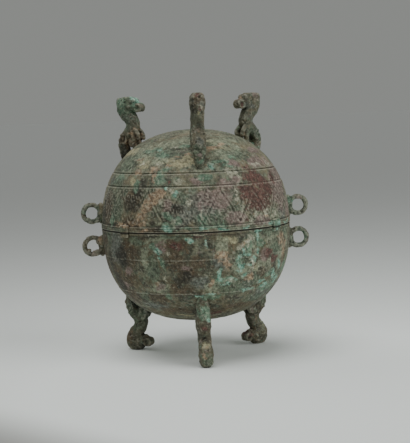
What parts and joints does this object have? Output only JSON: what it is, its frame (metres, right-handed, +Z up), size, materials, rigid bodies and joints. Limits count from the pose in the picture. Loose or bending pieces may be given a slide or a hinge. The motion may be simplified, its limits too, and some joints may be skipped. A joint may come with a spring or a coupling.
{
  "type": "dui tripod vessel",
  "caption": "Nearly spherical covered food vessel of cast bronze: a deep bowl and a matching lid, on S-shaped beast legs, with ring handles and beast finials.",
  "frame": {"origin": "on the vessel's vertical axis at floor level, under the middle of the bowl", "axes": "+Z up along the vessel's axis, front leg and front finial towards -Y, ring handles towards -X and +X"},
  "size_m": [0.2196, 0.1812, 0.25],
  "materials": {
    "bowl_bronze": "matt bronze patina, dark olive brown with malachite green and cuprite red patches",
    "lid_bronze": "matt bronze patina, grey green and tan with malachite green and cuprite red patches"
  },
  "bodies": {
    "root": {"bowl": "bowl_bronze", "lid": "lid_bronze"}
  },
  "joints": []
}
